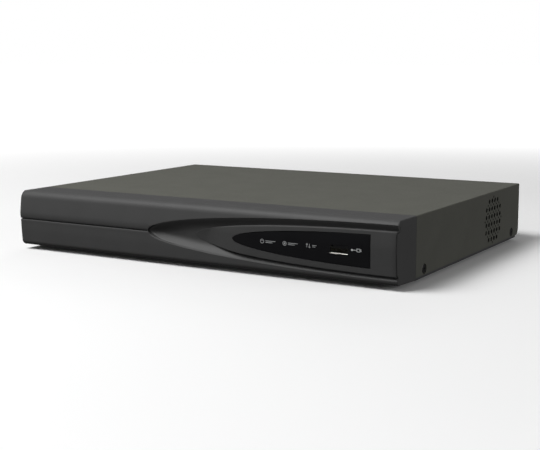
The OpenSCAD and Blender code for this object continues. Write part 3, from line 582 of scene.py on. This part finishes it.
# Finishes by material slot. The two prints are for the marks.
FINISHES = {
    "cover_paint": dict(colour=(0.114, 0.115, 0.1), rough=0.56, Specular_IOR_Level=0.15, mottle=0.04,
                        grain=0.05, grain_scale=1700),
    "chassis_paint": dict(colour=(0.055, 0.057, 0.06), rough=0.5, Specular_IOR_Level=0.3, mottle=0.05,
                          grain=0.04, grain_scale=1700),
    "bezel_plastic": dict(colour=(0.077, 0.077, 0.077), rough=0.48, Specular_IOR_Level=0.15, mottle=0.03,
                          grain=0.02, grain_scale=2500),
    "insert_plastic": dict(colour=(0.068, 0.068, 0.068), rough=0.42, Specular_IOR_Level=0.15, mottle=0.03,
                           grain=0.012, grain_scale=2500),
    "window_gloss": dict(colour=(0.009, 0.009, 0.010), rough=0.2, Specular_IOR_Level=0.25, mottle=0.1,
                         rough_spread=0.03, grain_scale=40),
    "clear_plastic": dict(colour=(0.75, 0.8, 0.8), rough=0.15, mottle=0.03),
    "foot_rubber": dict(colour=(0.018, 0.018, 0.018), rough=0.85, grain=0.05, grain_scale=1200),
    "black_screw": dict(colour=(0.02, 0.02, 0.021), rough=0.32, metal=0.6, mottle=0.2, mottle_scale=400),
    "circuit_board": dict(colour=(0.015, 0.10, 0.045), rough=0.3, mottle=0.25, mottle_scale=250, grain=0.03,
                          grain_scale=500),
    "standoff_brass": dict(colour=(0.6, 0.43, 0.16), rough=0.3, metal=1.0, grain=0.01, stretch=(1, 1, 12)),
    "bright_steel": dict(colour=(0.62, 0.62, 0.6), rough=0.25, metal=1.0, mottle=0.06, grain=0.008),
    "chip_plastic": dict(colour=(0.02, 0.02, 0.022), rough=0.6, grain=0.03, grain_scale=3000),
    "black_aluminium": dict(colour=(0.03, 0.03, 0.032), rough=0.45, metal=0.8, grain=0.01,
                            stretch=(1, 20, 1)),
    "capacitor_sleeve": dict(colour=(0.015, 0.025, 0.07), rough=0.28, mottle=0.1),
    "black_plastic": dict(colour=(0.022, 0.022, 0.024), rough=0.5, grain=0.02, grain_scale=2200),
    "nickel_plate": dict(colour=(0.62, 0.61, 0.57), rough=0.22, metal=1.0, mottle=0.05, grain=0.004),
    "white_plastic": dict(colour=(0.74, 0.74, 0.69), rough=0.45, mottle=0.03, grain=0.01),
    "gold_contact": dict(colour=(0.83, 0.6, 0.24), rough=0.2, metal=1.0, mottle=0.06),
    "blue_plastic": dict(colour=(0.02, 0.06, 0.36), rough=0.42, mottle=0.05, grain=0.01),
    "lamp_plastic": dict(colour=(0.22, 0.55, 0.2), rough=0.2, mottle=0.05),
    "green_plastic": dict(colour=(0.03, 0.27, 0.1), rough=0.45, mottle=0.05, grain=0.01),
    "rocker_plastic": dict(colour=(0.02, 0.02, 0.02), rough=0.3, mottle=0.1, grain=0.006),
    "fan_plastic": dict(colour=(0.028, 0.028, 0.03), rough=0.42, mottle=0.1, grain=0.01),
    "cast_aluminium": dict(colour=(0.42, 0.43, 0.44), rough=0.45, metal=1.0, mottle=0.08, grain=0.04,
                           grain_scale=900),
    "drive_lid_metal": dict(colour=(0.6, 0.61, 0.62), rough=0.3, metal=1.0, grain=0.01, stretch=(1, 25, 1)),
    "platter_mirror": dict(colour=(0.85, 0.85, 0.86), rough=0.05, metal=1.0, mottle=0.01,
                           rough_spread=0.02),
    "arm_aluminium": dict(colour=(0.65, 0.65, 0.66), rough=0.3, metal=1.0, grain=0.01, stretch=(1, 20, 1)),
    "cable_jacket": dict(colour=(0.16, 0.015, 0.015), rough=0.45, mottle=0.06, grain=0.01),
    "ribbon_plastic": dict(colour=(0.7, 0.7, 0.66), rough=0.4, mottle=0.04, grain=0.01,
                           stretch=(1, 0.02, 0.02)),
    "print_white": dict(colour=(0.62, 0.64, 0.64), rough=0.5, mottle=0.05),
    "print_grey": dict(colour=(0.4, 0.41, 0.41), rough=0.5, mottle=0.05),
}
finishes = {slot: finish_material(slot, **values) for slot, values in FINISHES.items()}


def paint(obj, slot):
    """Gives obj one finish and no other."""
    obj.data.materials.clear()
    obj.data.materials.append(finishes[slot])


# ---------------------------------------------------------------- CAD nodes with rounded edges

# Rounding of each node's edges, in millimetres
EDGES = {
    "top_cover": 0.1, "rubber_feet": 0.6, "cover_side_screws": 0.12, "cover_rear_screws": 0.12,
    "ground_screw": 0.12, "power_rocker": 0.35, "power_switch_body": 0.35, "terminal_header": 0.15,
    "video_jack_blocks": 0.4, "video_jack_insulators": 0.15, "audio_jack_block": 0.4,
    "audio_jack_shells": 0.12, "audio_jack_inserts": 0.15, "hdmi_shell": 0.12, "hdmi_tongue": 0.12,
    "vga_jackscrews": 0.12, "rear_usb_shell": 0.12, "rear_usb_tongue": 0.12, "front_usb_shell": 0.1,
    "front_usb_tongue": 0.12, "capacitors": 0.5, "buzzer": 0.5, "cell_holder": 0.3, "coin_cell": 0.3,
    "inductors": 0.5, "network_transformer": 0.3, "processor": 0.12, "small_chips": 0.12,
    "heat_sink": 0.12, "fan_frame": 0.35, "drive_lid": 0.25,
}
FOLD_RADIUS = 1.0


def rounded_copy(node, width, limit_deg=40):
    """A copy of a CAD node with its sharp edges rounded, on the node's body.

    Flat faces are joined first, apart from the cover's U-shaped ends. The cover's folds are rounder.
    """
    source = frame["nodes"][node]
    mesh = source.data.copy()
    obj = bpy.data.objects.new(node + "_rounded", mesh)
    bpy.context.scene.collection.objects.link(obj)
    bm = bmesh.new()
    bm.from_mesh(mesh)
    bmesh.ops.remove_doubles(bm, verts=bm.verts, dist=1e-7)
    flat = [e for e in bm.edges
            if all(abs(f.normal.y) < 0.9 or node != "top_cover" for f in e.link_faces)]
    bmesh.ops.dissolve_limit(bm, angle_limit=math.radians(0.5), verts=bm.verts, edges=flat)
    if node == "top_cover":
        fold = [e for e in bm.edges if all(abs(abs(v.co.x) - HALF_W * MM) < 1e-5 for v in e.verts)
                and all(abs(v.co.z - Z_TOP * MM) < 1e-5 for v in e.verts)]
        bmesh.ops.bevel(bm, geom=fold, offset=FOLD_RADIUS * MM, segments=5, profile=0.5, affect="EDGES")
    sharp = [e for e in bm.edges if len(e.link_faces) == 2 and e.is_contiguous
             and e.calc_face_angle() > math.radians(limit_deg)]
    bmesh.ops.bevel(bm, geom=sharp, offset=width * MM, segments=2, profile=0.5, affect="EDGES",
                    clamp_overlap=True)
    bm.to_mesh(mesh)
    bm.free()
    mesh.shade_smooth()
    mesh.set_sharp_from_angle(angle=math.radians(50))
    modifier = obj.modifiers.new("normals", "WEIGHTED_NORMAL")
    modifier.keep_sharp = True
    apply_modifiers(obj)
    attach(obj, source["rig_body"])
    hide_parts(node)
    return obj


# ---------------------------------------------------------------- printed marks

INK_SUNK = -0.1
INK_PROUD = 0.03
STROKE = 0.35

JACK_COLUMNS = 4
JACK_RADIUS = 6.3
TERMINALS = 6
TERMINAL_PITCH = 3.81

def bar(x0, z0, x1, z1, width):
    """A straight stroke's outline."""
    along = Vector((x1 - x0, z1 - z0)).normalized() * width / 2
    side = Vector((-along.y, along.x))
    return [(x0 - side.x, z0 - side.y), (x1 - side.x, z1 - side.y), (x1 + side.x, z1 + side.y),
            (x0 + side.x, z0 + side.y)]


def ring_parts(x, z, radius, width, from_deg=0, to_deg=360, count=24):
    """A curved stroke as short outlines that meet end to end."""
    angles = [math.radians(from_deg + (to_deg - from_deg) * i / count) for i in range(count + 1)]
    parts = []
    for a, b in zip(angles, angles[1:]):
        parts.append([(x + r * math.cos(t), z + r * math.sin(t))
                      for r, t in ((radius - width / 2, a), (radius + width / 2, a),
                                   (radius + width / 2, b), (radius - width / 2, b))])
    return parts


def disc(x, z, radius, count=20):
    """A filled circle's outline."""
    return [(x + radius * math.cos(math.tau * i / count), z + radius * math.sin(math.tau * i / count))
            for i in range(count)]


def frame_parts(x, z, w, h, width):
    """A rectangle's four strokes."""
    left, right, low, top = x - w / 2, x + w / 2, z - h / 2, z + h / 2
    return [bar(left, low, right, low, width), bar(left, top, right, top, width),
            bar(left, low, left, top, width), bar(right, low, right, top, width)]


def digit_parts(number, x, z, w, h, width):
    """A number in straight strokes."""
    left, right, top, low = x - w / 2, x + w / 2, z + h / 2, z - h / 2
    strokes = {"a": (left, top, right, top), "b": (right, top, right, z), "c": (right, z, right, low),
               "d": (left, low, right, low), "e": (left, z, left, low), "f": (left, top, left, z),
               "g": (left, z, right, z)}
    lit = {1: "bc", 2: "abged", 3: "abgcd", 4: "fgbc", 5: "afgcd", 6: "afgedc", 7: "abc", 8: "abcdefg"}
    return [bar(*strokes[s], width) for s in lit[number]]


def print_marks(name, outlines, surface, finish):
    """Thin ink from outlines in X and Z. surface gives the printed face's Y and which way it faces."""
    points, faces = [], []
    for outline in outlines:
        start, count = len(points), len(outline)
        for depth in (INK_SUNK, INK_PROUD):
            for x, z in outline:
                y, facing = surface(x, z)
                points.append((x, y + facing * depth, z))
        faces += [[start + i, start + (i + 1) % count, start + count + (i + 1) % count, start + count + i]
                  for i in range(count)]
        faces.append([start + i for i in reversed(range(count))])
        faces.append([start + count + i for i in range(count)])
    obj = bare_object(name, points, faces)
    bm = bmesh.new()
    bm.from_mesh(obj.data)
    bmesh.ops.recalc_face_normals(bm, faces=bm.faces)
    bm.to_mesh(obj.data)
    bm.free()
    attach(obj, "case")
    paint(obj, finish)
    return obj


def window_face(x, z):
    """Y of the window's printed face, and the way it faces."""
    return Y_FRONT + window_surface(x, z), -1


def rear_face(_x, _z):
    """Y of the rear panel, and the way it faces."""
    return Y_REAR, 1


def lamp_marks():
    """Pictograms for power, status and link, each with a short rule."""
    z, w = 24.45, 0.42
    out = ring_parts(59.3, z, 1.3, w, 125, 415) + [bar(59.3, z + 0.2, 59.3, z + 1.75, w)]
    out += ring_parts(76.6, z, 1.3, w) + [disc(76.6, z, 0.6)]
    for x, way in ((93.4, 1), (95.3, -1)):
        out += [bar(x, z - 1.3, x, z + 1.3, w), bar(x - 0.65, z + way * 0.6, x, z + way * 1.4, w),
                bar(x + 0.65, z + way * 0.6, x, z + way * 1.4, w)]
    for x0, x1 in ((62.0, 69.6), (79.2, 86.6), (97.4, 100.6)):
        out += [bar(x0, z + 0.45, x1, z + 0.45, w), bar(x0, z - 0.55, x0 + (x1 - x0) * 0.7, z - 0.55, w)]
    return out


def port_marks():
    """A cable that ends in a plug, beside the front socket."""
    x, z, w = usb_high.x + 1.9, USB_Z + 0.5, 0.4
    prongs = [bar(x + 6.3, z + side, x + 7.5, z + side, w) for side in (0.5, -0.5)]
    return ([disc(x + 0.75, z, 0.75), bar(x + 0.75, z, x + 4.2, z, w)]
            + frame_parts(x + 5.3, z, 2.2, 1.9, w) + prongs)


def over(node, rise):
    """The middle of a node in X, and a height above its top."""
    low, high = box_mm(node)
    return (low.x + high.x) / 2, high.z + rise


def channel_numbers():
    """A number beside each video jack, mirrored so that it reads right from behind."""
    low, high = box_mm("video_jack_barrels")
    first, step = high.x - JACK_RADIUS, (high.x - low.x - 2 * JACK_RADIUS) / (JACK_COLUMNS - 1)
    out = []
    for row, z in enumerate((high.z - JACK_RADIUS, low.z + JACK_RADIUS)):
        for column in range(JACK_COLUMNS):
            number = row * JACK_COLUMNS + column + 1
            x = first - step * column + 9
            out += [[(2 * x - px, pz) for px, pz in part]
                    for part in digit_parts(number, x, z, 1.3, 2.4, STROKE)]
    return out


def sound_marks():
    """An arrow head beside each phono jack, one for sound in and one for sound out."""
    low, high = box_mm("audio_jack_shells")
    x = high.x + 3.4
    return [[(x - way * 1.1, z), (x + way * 0.7, z - 1.1), (x + way * 0.7, z + 1.1)]
            for z, way in ((high.z - 4.4, 1), (low.z + 4.4, -1))]


def screen_marks():
    """A screen on a stand over each of the two picture sockets."""
    x, z = over("hdmi_shell", 4.6)
    out = frame_parts(x, z, 4.4, 2.6, STROKE) + [bar(x - 1.2, z - 1.9, x + 1.2, z - 1.9, STROKE)]
    x, z = over("vga_shell", 4.2)
    out += frame_parts(x, z, 3.6, 2.6, STROKE)
    return out + [bar(x, z - 1.3, x, z - 2.1, STROKE), bar(x - 1, z - 2.1, x + 1, z - 2.1, STROKE)]


def network_marks():
    """Three linked boxes over the network socket."""
    x, z = over("lan_socket", 3.6)
    boxes = [rect(x + dx, z + dz, 1.3, 1.1) for dx, dz in ((0, 1.1), (-1.5, -1.1), (1.5, -1.1))]
    return boxes + [bar(x - 1.5, z, x + 1.5, z, 0.3), bar(x, z + 0.6, x, z, 0.3),
                    bar(x - 1.5, z, x - 1.5, z - 0.6, 0.3), bar(x + 1.5, z, x + 1.5, z - 0.6, 0.3)]


def plug_marks():
    """A cable that ends in a plug, over the rear USB socket."""
    x, z = over("rear_usb_shell", 3.4)
    out = [disc(x + 2.6, z, 0.6), bar(x + 2.6, z, x, z, STROKE)] + frame_parts(x - 0.9, z, 1.8, 1.6, STROKE)
    return out + [bar(x - 1.8, z + side, x - 2.8, z + side, STROKE) for side in (0.4, -0.4)]


def terminal_marks():
    """A dot over each terminal."""
    low, high = box_mm("terminal_header")
    return [disc(low.x + 3.0 + TERMINAL_PITCH * i, high.z + 1.9, 0.45) for i in range(TERMINALS)]


def supply_marks():
    """The DC jack's pin and sleeve, the switch's two positions, and the ground sign."""
    x, z = over("dc_jack", 4)
    out = ring_parts(x, z, 1.3, STROKE, -50, 230) + [disc(x, z, 0.55), bar(x + 1.6, z, x + 3.2, z, STROKE)]
    out += ring_parts(x + 3.9, z, 0.7, 0.3) + ring_parts(x - 3.9, z, 0.7, 0.3)
    out += [bar(x - 0.5, z, x - 3.2, z, STROKE)]
    low, high = box_mm("power_switch_body")
    z = (low.z + high.z) / 2
    out += ring_parts(high.x + 2.6, z, 1.1, STROKE)
    out += [bar(low.x - 2.4, z - 1.3, low.x - 2.4, z + 1.3, 0.4)]
    x, z = over("ground_screw", 4.2)
    return out + [bar(x, z, x, z + 1.8, STROKE), bar(x - 1.8, z, x + 1.8, z, STROKE),
                  bar(x - 1.1, z - 0.8, x + 1.1, z - 0.8, STROKE),
                  bar(x - 0.4, z - 1.6, x + 0.4, z - 1.6, STROKE)]


def rear_marks():
    """Channel numbers and pictograms on the rear panel, drawn as they are seen from behind."""
    return (channel_numbers() + sound_marks() + screen_marks() + network_marks() + plug_marks()
            + terminal_marks() + supply_marks())


def make_usb_lip():
    """The bright turned edge of the front socket's shell, along the lower side of its opening."""
    half, end_gap, depth, steps = 0.12, 0.35, 2.2, 24
    z0 = usb_low.z - half
    length = usb_high.x - usb_low.x - 2 * end_gap
    turns = [math.radians(t) for t in (90, 60, 30, 0, -30, -60, -90)]
    sections = []
    for i in range(steps + 1):
        x = usb_low.x + end_gap + length * i / steps
        y = Y_FRONT + window_surface(x, z0) - half
        edge = [(x, y + 0.1 - 0.1 * math.cos(a), z0 + half + half * math.sin(a)) for a in turns]
        sections.append(edge + [(x, y + depth, z0), (x, y + depth, z0 + 2 * half)])
    lip = make_object("usb_lip", *loft(sections), 40)
    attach(lip, "case")
    return lip


# ---------------------------------------------------------------- pieces

bezel = make_bezel()
paint(bezel, "bezel_plastic")
insert = make_insert()
paint(insert, "insert_plastic")
window = make_window()
paint(window, "window_gloss")

slots = {part["node"]: part["material_slot"] for part in frame["record"]["subparts"]}
for node, slot in slots.items():
    paint(frame["nodes"][node], slot)
for node, width in EDGES.items():
    paint(rounded_copy(node, width), slots[node])
print_marks("lamp_marks", lamp_marks(), window_face, "print_grey")
print_marks("port_marks", port_marks(), window_face, "print_white")
print_marks("rear_marks", rear_marks(), rear_face, "print_white")
paint(make_usb_lip(), "nickel_plate")

# ---------------------------------------------------------------- stage, light and camera

FLOOR_SIZE = 12.0
FADE_FROM = 0.35
FADE_TO = 1.9

CAMERA_PLACE = (0.43446, -0.73573, 0.1475)
CAMERA_TURN_DEG = (31.011, 8.866, -0.19)
CAMERA_LENS = 73.03


def floor_material():
    """A pale floor that brightens into the backdrop as it goes away from the recorder."""
    material = finish_material("floor_white", (0.93, 0.93, 0.93), 0.9, mottle=0.005, mottle_scale=3,
                               rough_spread=0.02)
    tree = material.node_tree
    shader = tree.nodes["Principled BSDF"]
    place = tree.nodes.new("ShaderNodeTexCoord")
    far = tree.nodes.new("ShaderNodeVectorMath")
    far.operation = "LENGTH"
    fade = tree.nodes.new("ShaderNodeMapRange")
    fade.interpolation_type = "SMOOTHSTEP"
    fade.inputs["From Min"].default_value = FADE_FROM
    fade.inputs["From Max"].default_value = FADE_TO
    tree.links.new(place.outputs["Object"], far.inputs[0])
    tree.links.new(far.outputs["Value"], fade.inputs["Value"])
    tree.links.new(fade.outputs["Result"], shader.inputs["Emission Strength"])
    shader.inputs["Emission Color"].default_value = (1, 1, 1, 1)
    return material


def make_floor():
    corners = [(FLOOR_SIZE * x, FLOOR_SIZE * y, 0) for x, y in ((-1, -1), (1, -1), (1, 1), (-1, 1))]
    mesh = bpy.data.meshes.new("floor")
    mesh.from_pydata(corners, [], [(0, 1, 2, 3)])
    floor = bpy.data.objects.new("floor", mesh)
    bpy.context.scene.collection.objects.link(floor)
    floor.data.materials.append(floor_material())
    floor.visible_diffuse = False
    floor.visible_glossy = False


def area_light(name, place, target, size, power):
    """A rectangular light at a place, turned to a target."""
    data = bpy.data.lights.new(name, "AREA")
    data.shape = "RECTANGLE"
    data.size, data.size_y = size
    data.energy = power
    light = bpy.data.objects.new(name, data)
    light.location = place
    light.rotation_mode = "QUATERNION"
    light.rotation_quaternion = (Vector(target) - Vector(place)).to_track_quat("-Z", "Y")
    bpy.context.scene.collection.objects.link(light)
    return light


def make_world(light, shown):
    """Soft light all round, and a plain white backdrop where the camera looks past the floor."""
    world = bpy.data.worlds.new("studio")
    world.use_nodes = True
    nodes, links = world.node_tree.nodes, world.node_tree.links
    nodes.clear()
    output = nodes.new("ShaderNodeOutputWorld")
    mix = nodes.new("ShaderNodeMixShader")
    path = nodes.new("ShaderNodeLightPath")
    links.new(path.outputs["Is Camera Ray"], mix.inputs[0])
    for i, strength in enumerate((light, shown)):
        background = nodes.new("ShaderNodeBackground")
        background.inputs["Color"].default_value = (1, 1, 1, 1)
        background.inputs["Strength"].default_value = strength
        links.new(background.outputs["Background"], mix.inputs[i + 1])
    links.new(mix.outputs["Shader"], output.inputs["Surface"])
    bpy.context.scene.world = world


def make_camera():
    """A camera turned by yaw, pitch and roll from looking along +Y."""
    yaw, pitch, roll = (math.radians(turn) for turn in CAMERA_TURN_DEG)
    forward = Vector((-math.sin(yaw) * math.cos(pitch), math.cos(yaw) * math.cos(pitch),
                      -math.sin(pitch)))
    right = Vector((math.cos(yaw), math.sin(yaw), 0))
    up = right.cross(forward)
    turned_right = math.cos(roll) * right + math.sin(roll) * up
    turned_up = math.cos(roll) * up - math.sin(roll) * right
    data = bpy.data.cameras.new("camera")
    data.lens = CAMERA_LENS
    data.sensor_width = 36
    camera = bpy.data.objects.new("camera", data)
    turn = Matrix((turned_right, turned_up, -forward)).transposed()
    camera.matrix_world = Matrix.Translation(CAMERA_PLACE) @ turn.to_4x4()
    bpy.context.scene.collection.objects.link(camera)
    bpy.context.scene.camera = camera


make_floor()
make_world(0.085, 1.0)
area_light("key", (-0.6, -0.75, 1.35), (0, 0, 0.02), (0.9, 0.9), 27)
area_light("front", (0.0, -1.7, 0.85), (0, 0, 0.02), (1.4, 0.5), 3.2)
area_light("side", (1.6, 0.3, 0.5), (0, 0, 0.02), (0.8, 0.6), 6.5)
area_light("back", (-0.6, 1.7, 0.7), (0, 0, 0.02), (1.2, 0.6), 8).visible_glossy = False
make_camera()
bpy.context.scene.view_settings.view_transform = "Standard"
